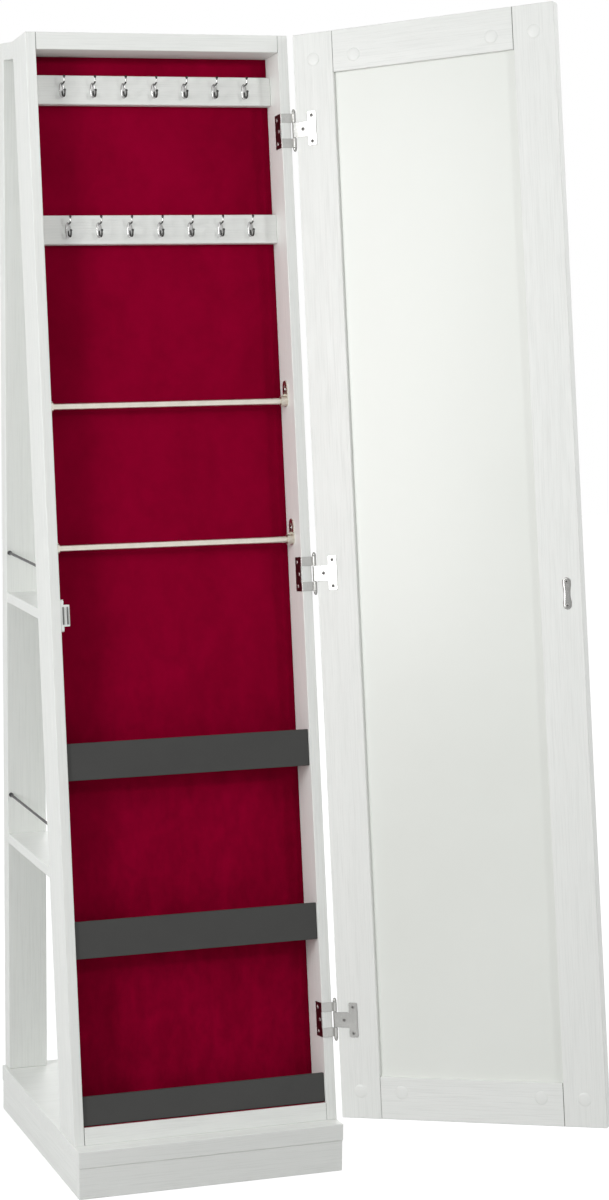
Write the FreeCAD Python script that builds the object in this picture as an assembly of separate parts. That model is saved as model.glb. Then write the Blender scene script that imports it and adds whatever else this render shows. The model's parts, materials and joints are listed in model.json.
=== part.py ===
import FreeCAD, Part
import math
import os

# Free-standing jewelry cabinet: a slim box with a mirror door leans back on a plinth, and two posts behind
# it carry a top board and two open shelves. Millimetres and degrees. X runs to the right, the front faces -Y,
# Z is up, and the origin is on the floor below the middle of the plinth.

# Boards
board = 15.0
thick_board = 25.0
thin_board = 10.0
eased_edge = 0.7
broken_edge = 1.0
cut_over = 1.0

# Plinth
plinth_width = 400.0
plinth_depth = 420.0
skirt_height = 45.0
skirt_setback = 1.0

# Leaning box, drawn upright: front face at y = 0, front foot at z = 0, depth towards +Y
lean_angle = 8.5
foot_setback = 24.0
box_width = 398.0
box_depth = 70.0
box_length = 1585.0
velvet = 1.5

# Rear posts, shelves and guard rods
post_width = 60.0
post_depth = 25.0
post_inset = 5.0
upper_shelf_top = 811.0
lower_shelf_top = 440.0
shelf_inset = 1.0
guard_height = 60.0
guard_radius = 2.0
guard_inset = 5.0
guard_collar_radius = 3.4
guard_collar_length = 7.0
guard_collar_straight = 3.9

# Hook rails and hooks
rail_height = 42.0
upper_rail_middle = 1509.0
lower_rail_middle = 1306.0
hook_count = 7
hook_pitch = 46.5
hook_row_shift = 2.5
hook_plate_width = 8.5
hook_plate_length = 23.0
hook_plate_thickness = 2.0
hook_plate_drop = 0.5
prong_radius = 1.3
prong_ball_radius = 1.9
prong_ball_seat = 1.5
prong_root = 1.0
prong_foot = 8.0
prong_bend = 5.0
prong_reach = 15.0
prong_top = 16.0
curl_foot = -2.0
curl_low = -11.0
curl_low_reach = 9.2
curl_start = 2.5
curl_tip = -4.0
curl_reach = 15.5
bend_steps = 3
curl_steps = 5
ball_levels = (-55.0, 0.0, 55.0)

# Hanging rods and their wall brackets
rod_radius = 5.0
rod_depth = 32.0
upper_rod_height = 1050.5
lower_rod_height = 847.0
bracket_width = 17.0
bracket_rise = 22.0
bracket_thickness = 2.0
cup_radius = 7.5
cup_length = 8.0
cup_play = 0.1
gusset_thickness = 3.0
gusset_rise = 11.0
slot_width = 5.0
slot_length = 13.0
slot_rise = 17.5

# Trays
lip_front = 5.0
lip_thickness = 5.0
lip_rise = 43.0
tray_liner = 1.2
upper_tray_foot = 515.5
middle_tray_foot = 262.5

# Door, drawn closed in front of the upright box
door_width = 396.0
door_foot = 3.0
door_head = 1584.0
door_thickness = 20.0
door_gap = 2.0
frame_width = 61.0
panel_recess = 5.5
panel_thickness = 3.0
mirror_thickness = 4.0
groove_depth = 8.0
groove_play = 0.2
door_open_angle = 137.3

# Corner fittings of the door frame
cam_edge_inset = 30.5
cam_spacing = 63.0
cam_end_inset = 39.0
cam_hole_radius = 7.5
cam_hole_depth = 14.0
cam_length = 10.5
cam_play = 0.2
cap_radius = 9.5
cap_height = 1.0
cap_crown_setback = 1.5
cap_spigot = 2.0
bolt_radius = 3.0
bolt_depth = 9.0

# Hinges
hinge_heights = {"lower": 145.0, "middle": 795.0, "upper": 1445.0}
hinge_axis_out = 3.5
hinge_axis_front = 3.7
leaf_thickness = 1.2
leaf_height = 50.0
leaf_depth = 23.0
arm_window = 23.6
barrel_radius = 2.9
bore_radius = 1.55
pin_radius = 1.5
pin_tip = 6.5
pin_tip_straight = 2.6
pin_tip_radius = 1.3
knuckle_height = 22.0
knuckle_gap = 0.5
plate_start = 18.0
plate_end = 31.0
plate_corner = 2.0
wall_screws = ((16.0, 17.5), (9.0, 0.0), (16.0, -17.5))
door_screws = ((24.5, 19.0), (10.5, 0.0), (24.5, -19.0))

# Facets round a turned piece, by its size
wire_sides = 6
small_sides = 8
middle_sides = 12
large_sides = 16

# Screws
screw_head_radius = 2.8
screw_head_depth = 1.2
screw_shank_radius = 1.4
screw_length = 12.0
pan_head_radius = 3.6
pan_head_height = 1.6
pan_crown_radius = 2.2
screw_play = 0.1

# Magnetic catch and its strike plate
catch_height = 751.0
catch_length = 46.0
catch_body_length = 31.0
catch_width = 13.5
catch_depth = 14.0
catch_front = 1.0
catch_edge = 0.8
ear_thickness = 4.5
ear_depth = 11.0
ear_corner = 2.0
pole_length = 25.0
pole_thickness = 1.6
pole_depth = 11.0
pole_front = -0.5
pole_places = (3.6, 9.9)
pole_play = 0.1
catch_screw_offset = 19.2
strike_width = 12.0
strike_length = 45.0
strike_thickness = 1.2
strike_waist_radius = 50.0
strike_waist_depth = 1.4
strike_screw_offset = 17.0
strike_edge_distance = 375.2

# Places worked out from the sizes above
plinth_height = skirt_height + thick_board
front_foot = foot_setback - plinth_depth / 2
lean = math.radians(lean_angle)
inner_half = box_width / 2 - board
lining_face = box_depth - board - velvet
post_front = plinth_depth / 2 - post_depth
frame_half = plinth_width / 2 - post_inset
post_top = plinth_height + box_length * math.cos(lean) - box_depth * math.sin(lean)
hinge_x = box_width / 2 + hinge_axis_out
hinge_y = -hinge_axis_front
door_hinge_edge = door_width / 2
door_inner = -door_gap
door_outer = -door_gap - door_thickness

Vec = FreeCAD.Vector
along_x = Vec(1, 0, 0)
along_y = Vec(0, 1, 0)
along_z = Vec(0, 0, 1)
nodes = {}


def block(x_range, y_range, z_range):
    low = Vec(x_range[0], y_range[0], z_range[0])
    return Part.makeBox(x_range[1] - low.x, y_range[1] - low.y, z_range[1] - low.z, low)


def eased(solid, size=eased_edge):
    return solid.makeChamfer(size, solid.Edges)


def eased_block(x_range, y_range, z_range, size=eased_edge):
    return eased(block(x_range, y_range, z_range), size)


def side_profile(points, x_range):
    corners = [Vec(x_range[0], y, z) for y, z in points]
    return flat_face(corners).extrude(Vec(x_range[1] - x_range[0], 0, 0))


def round_bar(start, end, radius):
    run = end - start
    return Part.makeCylinder(radius, run.Length, start, run)


def flat_face(points):
    return Part.Face(Part.makePolygon(points + points[:1]))


def faceted(rings):
    """Closed solid of flat facets through rings of the same number of points."""
    sides = len(rings[0])
    faces = [flat_face(rings[0]), flat_face(rings[-1])]
    for low, high in zip(rings, rings[1:]):
        for side in range(sides):
            after = (side + 1) % sides
            faces.append(flat_face([low[side], low[after], high[after], high[side]]))
    return Part.makeSolid(Part.makeShell(faces))


def ring(centre, across, other, sides):
    """Points round a centre, on the ellipse of two half axes."""
    turns = [2 * math.pi * number / sides for number in range(sides)]
    return [centre + across * math.cos(turn) + other * math.sin(turn) for turn in turns]


def turned(foot, axis, profile, sides):
    """Turned piece with flat facets: the profile lists a distance along the axis and a radius."""
    across = axis.cross(along_y if abs(axis.x) > 0.9 else along_x).normalize()
    other = axis.cross(across).normalize()
    return faceted([ring(foot + axis * distance, across * radius, other * radius, sides)
                    for distance, radius in profile])


def ball(centre, radius):
    levels = [math.radians(level) for level in ball_levels]
    profile = [(radius * math.sin(level), radius * math.cos(level)) for level in levels]
    return turned(centre, along_z, profile, wire_sides)


def bent_wire(points, radius):
    """Wire with flat facets through points of a plane square to X, mitred at each bend."""
    rings = []
    for number, point in enumerate(points):
        come = point - points[max(number - 1, 0)]
        leave = points[min(number + 1, len(points) - 1)] - point
        come = (come if come.Length else leave * 1).normalize()
        leave = (leave if leave.Length else come * 1).normalize()
        run = (come + leave).normalize()
        across = along_x.cross(run) * (radius / run.dot(come))
        rings.append(ring(point, along_x * radius, across, wire_sides))
    return faceted(rings)


def stadium(centre, across, up, width, rise, normal, thickness):
    """Flat plate with two round ends: rise is the distance between the centres of the ends."""
    half = across * (width / 2)
    low = centre - up * (rise / 2)
    high = centre + up * (rise / 2)
    top = Part.Arc(high + half, high + up * (width / 2), high - half).toShape()
    bottom = Part.Arc(low - half, low - up * (width / 2), low + half).toShape()
    points = top.discretize(Number=wire_sides) + bottom.discretize(Number=wire_sides)
    return flat_face(points).extrude(normal * thickness)


def countersunk_screw(head, inward, play=0.0):
    profile = [(0, screw_head_radius + play), (screw_head_depth, screw_shank_radius + play),
               (screw_length + play, screw_shank_radius + play)]
    return turned(head, inward, profile, small_sides)


def pan_screw(seat, inward):
    crown = [(0, pan_head_radius), (pan_head_height / 2, pan_head_radius),
             (pan_head_height, pan_crown_radius)]
    shank = [(0, screw_shank_radius), (screw_length, screw_shank_radius)]
    head = turned(seat, inward * -1, crown, small_sides)
    return head.fuse(turned(seat, inward, shank, small_sides))


def shank_hole(seat, inward):
    reach = screw_length + screw_play
    radius = screw_shank_radius + screw_play
    return turned(seat, inward, [(0, radius), (reach, radius)], small_sides)


def leaning(solid):
    lean_back = FreeCAD.Rotation(along_x, -lean_angle)
    placed = solid.copy()
    to_plinth = FreeCAD.Placement(Vec(0, front_foot, plinth_height), lean_back)
    placed.Placement = to_plinth.multiply(solid.Placement)
    return placed


def opened(solid):
    swing = FreeCAD.Rotation(along_z, door_open_angle)
    placed = solid.copy()
    about_hinge = FreeCAD.Placement(Vec(), swing, Vec(hinge_x, hinge_y, 0))
    placed.Placement = about_hinge.multiply(solid.Placement)
    return leaning(placed)


def group(solids):
    return Part.makeCompound(solids)


def behind_box(solid):
    """The part of a solid that is behind the leaning box's rear face."""
    reach = 3 * plinth_width
    box_space = block((-reach, reach), (-reach, box_depth), (-reach, box_length + reach))
    return solid.cut(leaning(box_space))


def make_plinth():
    half_x = plinth_width / 2
    half_y = plinth_depth / 2
    nodes["plinth_top"] = eased_block((-half_x, half_x), (-half_y, half_y), (skirt_height, plinth_height),
                                      broken_edge)
    out_x = half_x - skirt_setback
    out_y = half_y - skirt_setback
    in_x = out_x - board
    in_y = out_y - board
    height = (0, skirt_height)
    nodes["plinth_front_skirt"] = eased_block((-out_x, out_x), (-out_y, -in_y), height)
    nodes["plinth_back_skirt"] = eased_block((-out_x, out_x), (in_y, out_y), height)
    nodes["plinth_left_skirt"] = eased_block((-out_x, -in_x), (-in_y, in_y), height)
    nodes["plinth_right_skirt"] = eased_block((in_x, out_x), (-in_y, in_y), height)


def make_rear_frame():
    post_inner = frame_half - post_width
    depth = (post_front, plinth_depth / 2)
    height = (plinth_height, post_top)
    nodes["left_post"] = eased_block((-frame_half, -post_inner), depth, height, broken_edge)
    nodes["right_post"] = eased_block((post_inner, frame_half), depth, height, broken_edge)
    run = (front_foot, post_front)
    cap = block((-frame_half, frame_half), run, (post_top - thick_board, post_top))
    nodes["rear_top_board"] = eased(behind_box(cap))
    shelf_half = frame_half - shelf_inset
    for name, top in (("upper", upper_shelf_top), ("lower", lower_shelf_top)):
        shelf = block((-shelf_half, shelf_half), run, (top - board, top))
        nodes[name + "_shelf"] = eased(behind_box(shelf))
        for side, sign in (("left", -1), ("right", 1)):
            nodes[name + "_" + side + "_guard_rod"] = guard_rod(sign * (frame_half - guard_inset), top)


def guard_rod(x, shelf_top):
    seat = Vec(x, post_front, shelf_top + guard_height)
    profile = [(0, guard_collar_radius), (guard_collar_straight, guard_collar_radius),
               (guard_collar_length, guard_radius), (plinth_depth, guard_radius)]
    return behind_box(turned(seat, along_y * -1, profile, middle_sides))


def make_box():
    half = box_width / 2
    rear_foot = box_depth * math.tan(lean)
    side = ((0, 0), (0, box_length), (box_depth, box_length), (box_depth, rear_foot))
    left_side = eased(side_profile(side, (-half, -inner_half)))
    right_side = eased(side_profile(side, (inner_half, half)))
    for place, inward in bracket_screw_places() + catch_screw_places():
        if inward.x < 0:
            left_side = left_side.cut(shank_hole(place, inward))
        else:
            right_side = right_side.cut(shank_hole(place, inward))
    for place, inward in wall_screw_places():
        right_side = right_side.cut(shank_hole(place, inward))
    nodes["cabinet_left_side"] = leaning(left_side)
    nodes["cabinet_right_side"] = leaning(right_side)
    across = (-inner_half, inner_half)
    ceiling = box_length - thick_board
    nodes["cabinet_top"] = leaning(eased_block(across, (0, box_depth), (ceiling, box_length)))
    floor = ((0, 0), (0, thick_board), (box_depth, thick_board), (box_depth, rear_foot))
    nodes["cabinet_bottom"] = leaning(eased(side_profile(floor, across)))
    inside = (thick_board, ceiling)
    nodes["cabinet_back"] = leaning(block(across, (box_depth - board, box_depth), inside))
    nodes["velvet_back_lining"] = leaning(block(across, (lining_face, box_depth - board), inside))


def hook(x, rail_middle):
    face = lining_face - board
    def at(out, rise):
        return Vec(x, face - out, rail_middle + rise)
    plate_rise = hook_plate_length - hook_plate_width
    plate = stadium(at(0, -hook_plate_drop), along_x, along_z, hook_plate_width, plate_rise,
                    along_y * -1, hook_plate_thickness)
    bend_out = prong_reach - prong_bend
    slant = prong_bend * (1 - math.sqrt(0.5))
    bend = Part.Arc(at(bend_out, prong_foot), at(prong_reach - slant, prong_foot + slant),
                    at(prong_reach, prong_foot + prong_bend)).toShape()
    prong = [at(prong_root, prong_foot)] + bend.discretize(Number=bend_steps) + [at(prong_reach, prong_top)]
    curl = Part.Arc(at(curl_start, curl_foot), at(curl_low_reach, curl_low),
                    at(curl_reach, curl_tip)).toShape()
    pieces = [
        bent_wire(prong, prong_radius),
        bent_wire(curl.discretize(Number=curl_steps), prong_radius),
        ball(at(prong_reach, prong_top + prong_ball_seat), prong_ball_radius),
        ball(at(curl_reach, curl_tip + prong_ball_seat), prong_ball_radius),
    ]
    return plate.fuse(pieces)


def make_hook_rails():
    across = (-inner_half, inner_half)
    first = hook_row_shift - hook_pitch * (hook_count - 1) / 2
    for name, middle in (("upper", upper_rail_middle), ("lower", lower_rail_middle)):
        height = (middle - rail_height / 2, middle + rail_height / 2)
        rail = eased_block(across, (lining_face - board, lining_face), height, broken_edge)
        nodes[name + "_hook_rail"] = leaning(rail)
        hooks = [leaning(hook(first + hook_pitch * number, middle)) for number in range(hook_count)]
        nodes[name + "_hooks"] = group(hooks)


def bracket_screw_places():
    places = []
    for height in (upper_rod_height, lower_rod_height):
        for sign in (-1, 1):
            seat = Vec(sign * (inner_half - bracket_thickness), rod_depth, height + slot_rise)
            places.append((seat, along_x * sign))
    return places


def rod_bracket(sign, height):
    wall = Vec(sign * inner_half, rod_depth, height)
    inward = along_x * -sign
    plate_middle = wall + along_z * (bracket_rise / 2)
    plate = stadium(plate_middle, along_y, along_z, bracket_width, bracket_rise, inward, bracket_thickness)
    slot_middle = wall + along_z * slot_rise
    slot_run = slot_length - slot_width
    slot = stadium(slot_middle, along_y, along_z, slot_width, slot_run, inward, bracket_thickness)
    face = wall + inward * bracket_thickness
    cup = turned(face, inward, [(0, cup_radius), (cup_length, cup_radius)], large_sides)
    half = gusset_thickness / 2
    points = [face, face + inward * cup_length, face + inward * cup_length + along_z * cup_radius,
              face + along_z * gusset_rise]
    points = [point - along_y * half for point in points]
    gusset = flat_face(points).extrude(along_y * gusset_thickness)
    socket_radius = (rod_radius + cup_play) / math.cos(math.pi / large_sides)
    socket = turned(face, inward, [(0, socket_radius), (cup_length + cut_over, socket_radius)], large_sides)
    return plate.cut(slot).fuse([cup, gusset]).cut(socket).removeSplitter()


def make_hanging_rods():
    reach = inner_half - bracket_thickness
    for name, height in (("upper", upper_rod_height), ("lower", lower_rod_height)):
        rod = round_bar(Vec(-reach, rod_depth, height), Vec(reach, rod_depth, height), rod_radius)
        nodes[name + "_hanging_rod"] = leaning(rod)
        for side, sign in (("left", -1), ("right", 1)):
            nodes[name + "_" + side + "_rod_bracket"] = leaning(rod_bracket(sign, height))


def make_trays():
    across = (-inner_half, inner_half)
    lip_depth = (lip_front, lip_front + lip_thickness)
    floor_depth = (lip_depth[1], lining_face)
    for name, foot in (("upper", upper_tray_foot), ("middle", middle_tray_foot)):
        floor = foot + thin_board
        nodes[name + "_tray_shelf"] = leaning(block(across, floor_depth, (foot, floor)))
        nodes[name + "_tray_liner"] = leaning(block(across, floor_depth, (floor, floor + tray_liner)))
        nodes[name + "_tray_lip"] = leaning(eased_block(across, lip_depth, (foot, floor + lip_rise)))
    floor = thick_board
    lip_foot = floor + tray_liner
    nodes["lower_tray_liner"] = leaning(block(across, (lip_front, lining_face), (floor, lip_foot)))
    nodes["lower_tray_lip"] = leaning(eased_block(across, lip_depth, (lip_foot, floor + lip_rise)))


def catch_screw_places():
    seat_x = ear_thickness - inner_half
    seat_y = catch_front + ear_depth / 2
    offsets = (-catch_screw_offset, catch_screw_offset)
    return [(Vec(seat_x, seat_y, catch_height + offset), along_x * -1) for offset in offsets]


def catch_pole(place, play=0.0):
    x = place - inner_half
    reach = pole_thickness / 2 + play
    half = pole_length / 2 + play
    return block((x - reach, x + reach), (pole_front, catch_front + pole_depth + play),
                 (catch_height - half, catch_height + half))


def make_catch():
    wall = -inner_half
    half = catch_length / 2
    body_half = catch_body_length / 2
    ears = block((wall, wall + ear_thickness), (catch_front, catch_front + ear_depth),
                 (catch_height - half, catch_height + half))
    ears = ears.makeChamfer(ear_corner, [edge for edge in ears.Edges if abs(edge.tangentAt(0).x) > 0.9])
    body = block((wall, wall + catch_width), (catch_front, catch_front + catch_depth),
                 (catch_height - body_half, catch_height + body_half))
    outer_edges = [edge for edge in body.Edges if edge.CenterOfMass.x > wall + catch_edge]
    body = body.makeChamfer(catch_edge, outer_edges)
    body = body.fuse(ears)
    for place in pole_places:
        body = body.cut(catch_pole(place, pole_play))
    for place, inward in catch_screw_places():
        body = body.cut(shank_hole(place, inward))
    nodes["catch_body"] = leaning(body.removeSplitter())
    nodes["catch_pole_plates"] = group([leaning(catch_pole(place)) for place in pole_places])


def cam_places():
    edge = door_hinge_edge - cam_edge_inset
    xs = (edge, edge - cam_spacing, cam_spacing - edge, -edge)
    zs = (door_foot + cam_end_inset, door_head - cam_end_inset)
    return [(x, z) for z in zs for x in xs]


def bolt_places():
    edge = door_hinge_edge - cam_edge_inset
    zs = (door_foot + cam_end_inset, door_head - cam_end_inset)
    return [(sign * (edge - cam_spacing / 2), z) for z in zs for sign in (-1, 1)]


def corner_bolt(x, z, play=0.0):
    half = cam_spacing / 2 - cam_hole_radius + play
    y = door_inner - bolt_depth
    radius = bolt_radius + play
    return turned(Vec(x - half, y, z), along_x, [(0, radius), (2 * half, radius)], middle_sides)


def with_corner_holes(solid):
    for x, z in cam_places():
        hole = [(0, cam_hole_radius), (cam_hole_depth, cam_hole_radius)]
        solid = solid.cut(turned(Vec(x, door_inner, z), along_y * -1, hole, large_sides))
    for x, z in bolt_places():
        solid = solid.cut(corner_bolt(x, z, cam_play))
    return solid


def with_screw_holes(solid, places):
    for place, inward in places:
        solid = solid.cut(countersunk_screw(place, inward, screw_play))
    return solid


def with_shank_holes(solid, places):
    for place, inward in places:
        solid = solid.cut(shank_hole(place, inward))
    return solid


def make_door():
    inner_edge = door_hinge_edge - frame_width
    thickness = (door_outer, door_inner)
    low_edge = door_foot + frame_width
    high_edge = door_head - frame_width
    groove_front = door_inner - panel_recess
    groove_back = groove_front - panel_thickness - mirror_thickness - groove_play
    groove_x = (-inner_edge - groove_depth, inner_edge + groove_depth)
    groove_z = (low_edge - groove_depth, high_edge + groove_depth)
    groove = block(groove_x, (groove_back, groove_front), groove_z)
    full_height = (door_foot, door_head)
    hinge_stile = eased_block((inner_edge, door_hinge_edge), thickness, full_height).cut(groove)
    free_stile = eased_block((-door_hinge_edge, -inner_edge), thickness, full_height).cut(groove)
    across = (-inner_edge, inner_edge)
    bottom_rail = eased_block(across, thickness, (door_foot, low_edge)).cut(groove)
    top_rail = eased_block(across, thickness, (high_edge, door_head)).cut(groove)
    hinge_stile = with_shank_holes(hinge_stile, door_screw_places())
    free_stile = with_shank_holes(free_stile, strike_screw_places())
    nodes["door_hinge_stile"] = opened(with_corner_holes(hinge_stile))
    nodes["door_free_stile"] = opened(with_corner_holes(free_stile))
    nodes["door_top_rail"] = opened(with_corner_holes(top_rail))
    nodes["door_bottom_rail"] = opened(with_corner_holes(bottom_rail))
    play = groove_play
    panel_x = (groove_x[0] + play, groove_x[1] - play)
    panel_z = (groove_z[0] + play, groove_z[1] - play)
    panel_back = groove_front - panel_thickness
    nodes["door_back_panel"] = opened(block(panel_x, (panel_back, groove_front), panel_z))
    nodes["door_mirror"] = opened(block(panel_x, (panel_back - mirror_thickness, panel_back), panel_z))


def corner_cap(x, z):
    face = Vec(x, door_inner, z)
    crown = [(0, cap_radius), (cap_height / 2, cap_radius), (cap_height, cap_radius - cap_crown_setback)]
    spigot = [(0, cam_hole_radius - cam_play), (cap_spigot, cam_hole_radius - cam_play)]
    return turned(face, along_y, crown, middle_sides).fuse(turned(face, along_y * -1, spigot, small_sides))


def corner_cam(x, z):
    radius = cam_hole_radius - cam_play
    top = Vec(x, door_inner - cap_spigot - cam_play, z)
    return turned(top, along_y * -1, [(0, radius), (cam_length, radius)], middle_sides)


def make_corner_fittings():
    nodes["door_cap_plugs"] = group([opened(corner_cap(x, z)) for x, z in cam_places()])
    nodes["door_corner_cams"] = group([opened(corner_cam(x, z)) for x, z in cam_places()])
    nodes["door_corner_bolts"] = group([opened(corner_bolt(x, z)) for x, z in bolt_places()])


def wall_screw_places():
    x = inner_half - leaf_thickness
    return [(Vec(x, depth, middle + rise), along_x)
            for middle in hinge_heights.values() for depth, rise in wall_screws]


def door_screw_places():
    y = door_inner + leaf_thickness
    return [(Vec(door_hinge_edge - across, y, middle + rise), along_y * -1)
            for middle in hinge_heights.values() for across, rise in door_screws]


def strike_screw_places():
    x = door_hinge_edge - strike_edge_distance
    y = door_inner + strike_thickness
    offsets = (-strike_screw_offset, strike_screw_offset)
    return [(Vec(x, y, catch_height + offset), along_y * -1) for offset in offsets]


def barrel(low, high):
    foot = Vec(hinge_x, hinge_y, low)
    return turned(foot, along_z, [(0, barrel_radius), (high - low, barrel_radius)], middle_sides)


def bore(middle):
    low = Vec(hinge_x, hinge_y, middle - leaf_height)
    return round_bar(low, low + along_z * (2 * leaf_height), bore_radius)


def cabinet_leaf(middle):
    low = middle - leaf_height / 2
    high = middle + leaf_height / 2
    wall = block((inner_half - leaf_thickness, inner_half), (-leaf_thickness, leaf_depth), (low, high))
    arms = block((inner_half - leaf_thickness, hinge_x), (-leaf_thickness, 0), (low, high))
    window_low = middle - arm_window / 2
    window_high = middle + arm_window / 2
    window = block((inner_half - leaf_thickness, hinge_x), (-leaf_thickness, 0), (window_low, window_high))
    knuckle_end = knuckle_height / 2 + knuckle_gap
    leaf = wall.fuse(arms).cut(window)
    leaf = leaf.fuse([barrel(low, middle - knuckle_end), barrel(middle + knuckle_end, high)])
    leaf = leaf.cut(bore(middle))
    return with_screw_holes(leaf, wall_screw_places()).removeSplitter()


def door_leaf(middle):
    depth = (door_inner, door_inner + leaf_thickness)
    plate_x = (door_hinge_edge - plate_end, door_hinge_edge - plate_start)
    plate = block(plate_x, depth, (middle - leaf_height / 2, middle + leaf_height / 2))
    plate = plate.makeChamfer(plate_corner, [edge for edge in plate.Edges if abs(edge.tangentAt(0).y) > 0.9])
    half = knuckle_height / 2
    neck = block((plate_x[1], hinge_x), depth, (middle - half, middle + half))
    leaf = plate.fuse([neck, barrel(middle - half, middle + half)]).cut(bore(middle))
    return with_screw_holes(leaf, door_screw_places()).removeSplitter()


def hinge_pin(middle):
    end = leaf_height / 2
    shaft = round_bar(Vec(hinge_x, hinge_y, middle - end), Vec(hinge_x, hinge_y, middle + end), pin_radius)
    tips = []
    for sign in (-1, 1):
        seat = Vec(hinge_x, hinge_y, middle + sign * end)
        tip = [(0, barrel_radius), (pin_tip_straight, barrel_radius), (pin_tip, pin_tip_radius)]
        tips.append(turned(seat, along_z * sign, tip, middle_sides))
    return shaft.fuse(tips)


def make_hinges():
    for name, middle in hinge_heights.items():
        nodes[name + "_hinge_cabinet_leaf"] = leaning(cabinet_leaf(middle))
        nodes[name + "_hinge_door_leaf"] = opened(door_leaf(middle))
    nodes["hinge_pins"] = group([leaning(hinge_pin(middle)) for middle in hinge_heights.values()])


def make_strike():
    x = door_hinge_edge - strike_edge_distance
    rise = strike_length - strike_width
    middle = Vec(x, door_inner, catch_height)
    plate = stadium(middle, along_x, along_z, strike_width, rise, along_y, strike_thickness)
    for sign in (-1, 1):
        axis_x = x + sign * (strike_width / 2 + strike_waist_radius - strike_waist_depth)
        start = Vec(axis_x, door_inner - cut_over, catch_height)
        end = Vec(axis_x, door_inner + strike_thickness + cut_over, catch_height)
        plate = plate.cut(round_bar(start, end, strike_waist_radius))
    nodes["strike_plate"] = opened(with_screw_holes(plate, strike_screw_places()))


def make_screws():
    wall = [leaning(countersunk_screw(place, inward)) for place, inward in wall_screw_places()]
    pan_places = bracket_screw_places() + catch_screw_places()
    pans = [leaning(pan_screw(place, inward)) for place, inward in pan_places]
    nodes["cabinet_screws"] = group(wall + pans)
    door_places = door_screw_places() + strike_screw_places()
    nodes["door_screws"] = group([opened(countersunk_screw(place, inward)) for place, inward in door_places])


make_plinth()
make_rear_frame()
make_box()
make_hook_rails()
make_hanging_rods()
make_trays()
make_catch()
make_door()
make_corner_fittings()
make_hinges()
make_strike()
make_screws()

os.makedirs("parts", exist_ok=True)
for name, shape in nodes.items():
    shape.exportStep("parts/" + name + ".step")
    print(name, len(shape.Solids), round(shape.Volume), shape.isValid())
print(len(nodes), "nodes")
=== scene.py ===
import json
import math

import bmesh
import bpy
from mathutils import Matrix, Vector


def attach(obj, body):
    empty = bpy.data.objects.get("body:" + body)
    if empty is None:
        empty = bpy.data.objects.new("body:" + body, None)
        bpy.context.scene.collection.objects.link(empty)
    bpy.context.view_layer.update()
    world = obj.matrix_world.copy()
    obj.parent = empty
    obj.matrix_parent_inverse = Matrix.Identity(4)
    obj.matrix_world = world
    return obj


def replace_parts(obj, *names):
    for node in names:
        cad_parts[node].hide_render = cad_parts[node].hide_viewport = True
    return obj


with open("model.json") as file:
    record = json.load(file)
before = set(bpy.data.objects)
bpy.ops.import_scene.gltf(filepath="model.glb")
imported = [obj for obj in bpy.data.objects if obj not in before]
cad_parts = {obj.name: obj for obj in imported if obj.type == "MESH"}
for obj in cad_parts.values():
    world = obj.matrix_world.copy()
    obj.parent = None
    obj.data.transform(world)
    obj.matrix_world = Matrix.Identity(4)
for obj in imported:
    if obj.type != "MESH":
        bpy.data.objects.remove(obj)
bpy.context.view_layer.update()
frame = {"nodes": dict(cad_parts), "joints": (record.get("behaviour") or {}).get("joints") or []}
cadNodes = frame["nodes"]
doorJoint = frame["joints"][0]
print("frame loaded,", len(cadNodes), "nodes")

# box and closed door are drawn upright, front plane at y = 0, then turned into their place
cabinetFit = {
    "footY": -0.186,
    "plinthTop": 0.070,
    "innerHalf": 0.184,
    "railHalf": 0.137,
    "liningFace": 0.0535,
    "boxFloor": 0.025,
    "boxCeiling": 1.560,
}
hingeAxis = Vector(doorJoint["axis"])
leanAngle = math.atan2(hingeAxis.y, hingeAxis.z)
openAngle = -math.radians(doorJoint["range_deg"][0])
leanFoot = Matrix.Translation((0, cabinetFit["footY"], cabinetFit["plinthTop"]))
leanFrame = leanFoot @ Matrix.Rotation(-leanAngle, 4, "X")
hingePlace = leanFrame.inverted() @ Vector(doorJoint["pos_m"])
toHinge = Matrix.Translation(hingePlace)
doorSwing = toHinge @ Matrix.Rotation(openAngle, 4, "Z") @ Matrix.Translation(-hingePlace)
doorFrame = leanFrame @ doorSwing


# materials

def startMaterial(name, values=None):
    material = bpy.data.materials.new(name)
    material.use_nodes = True
    shader = material.node_tree.nodes["Principled BSDF"]
    for key, value in (values or {}).items():
        shader.inputs[key].default_value = value
    return material, material.node_tree, shader


def addNode(tree, kind, values=None, links=None, settings=None):
    node = tree.nodes.new(kind)
    for key, value in (settings or {}).items():
        setattr(node, key, value)
    for key, value in (values or {}).items():
        node.inputs[key].default_value = value
    for key, source in (links or {}).items():
        tree.links.new(source, node.inputs[key])
    return node


def worked(tree, operation, *terms):
    # sums with plain numbers and other nodes' results
    numbers = {place: term for place, term in enumerate(terms) if isinstance(term, (int, float))}
    results = {place: term for place, term in enumerate(terms) if place not in numbers}
    return addNode(tree, "ShaderNodeMath", numbers, results, {"operation": operation}).outputs[0]


def objectPlace(tree):
    return addNode(tree, "ShaderNodeTexCoord").outputs["Object"]


def objectAxis(tree, axis):
    return addNode(tree, "ShaderNodeSeparateXYZ", None, {0: objectPlace(tree)}).outputs[axis]


def objectPattern(tree, size=(1, 1, 1), turn=(0, 0, 0)):
    fit = addNode(tree, "ShaderNodeMapping", {"Rotation": turn, "Scale": size},
                  {"Vector": objectPlace(tree)}, {"vector_type": "TEXTURE"})
    return fit.outputs["Vector"]


def cloudNoise(tree, pattern, scale=1.0, detail=4.0, roughness=0.55, distortion=0.0):
    noise = addNode(tree, "ShaderNodeTexNoise",
                    {"Scale": scale, "Detail": detail, "Roughness": roughness, "Distortion": distortion},
                    {"Vector": pattern})
    return noise.outputs["Fac"]


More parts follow.
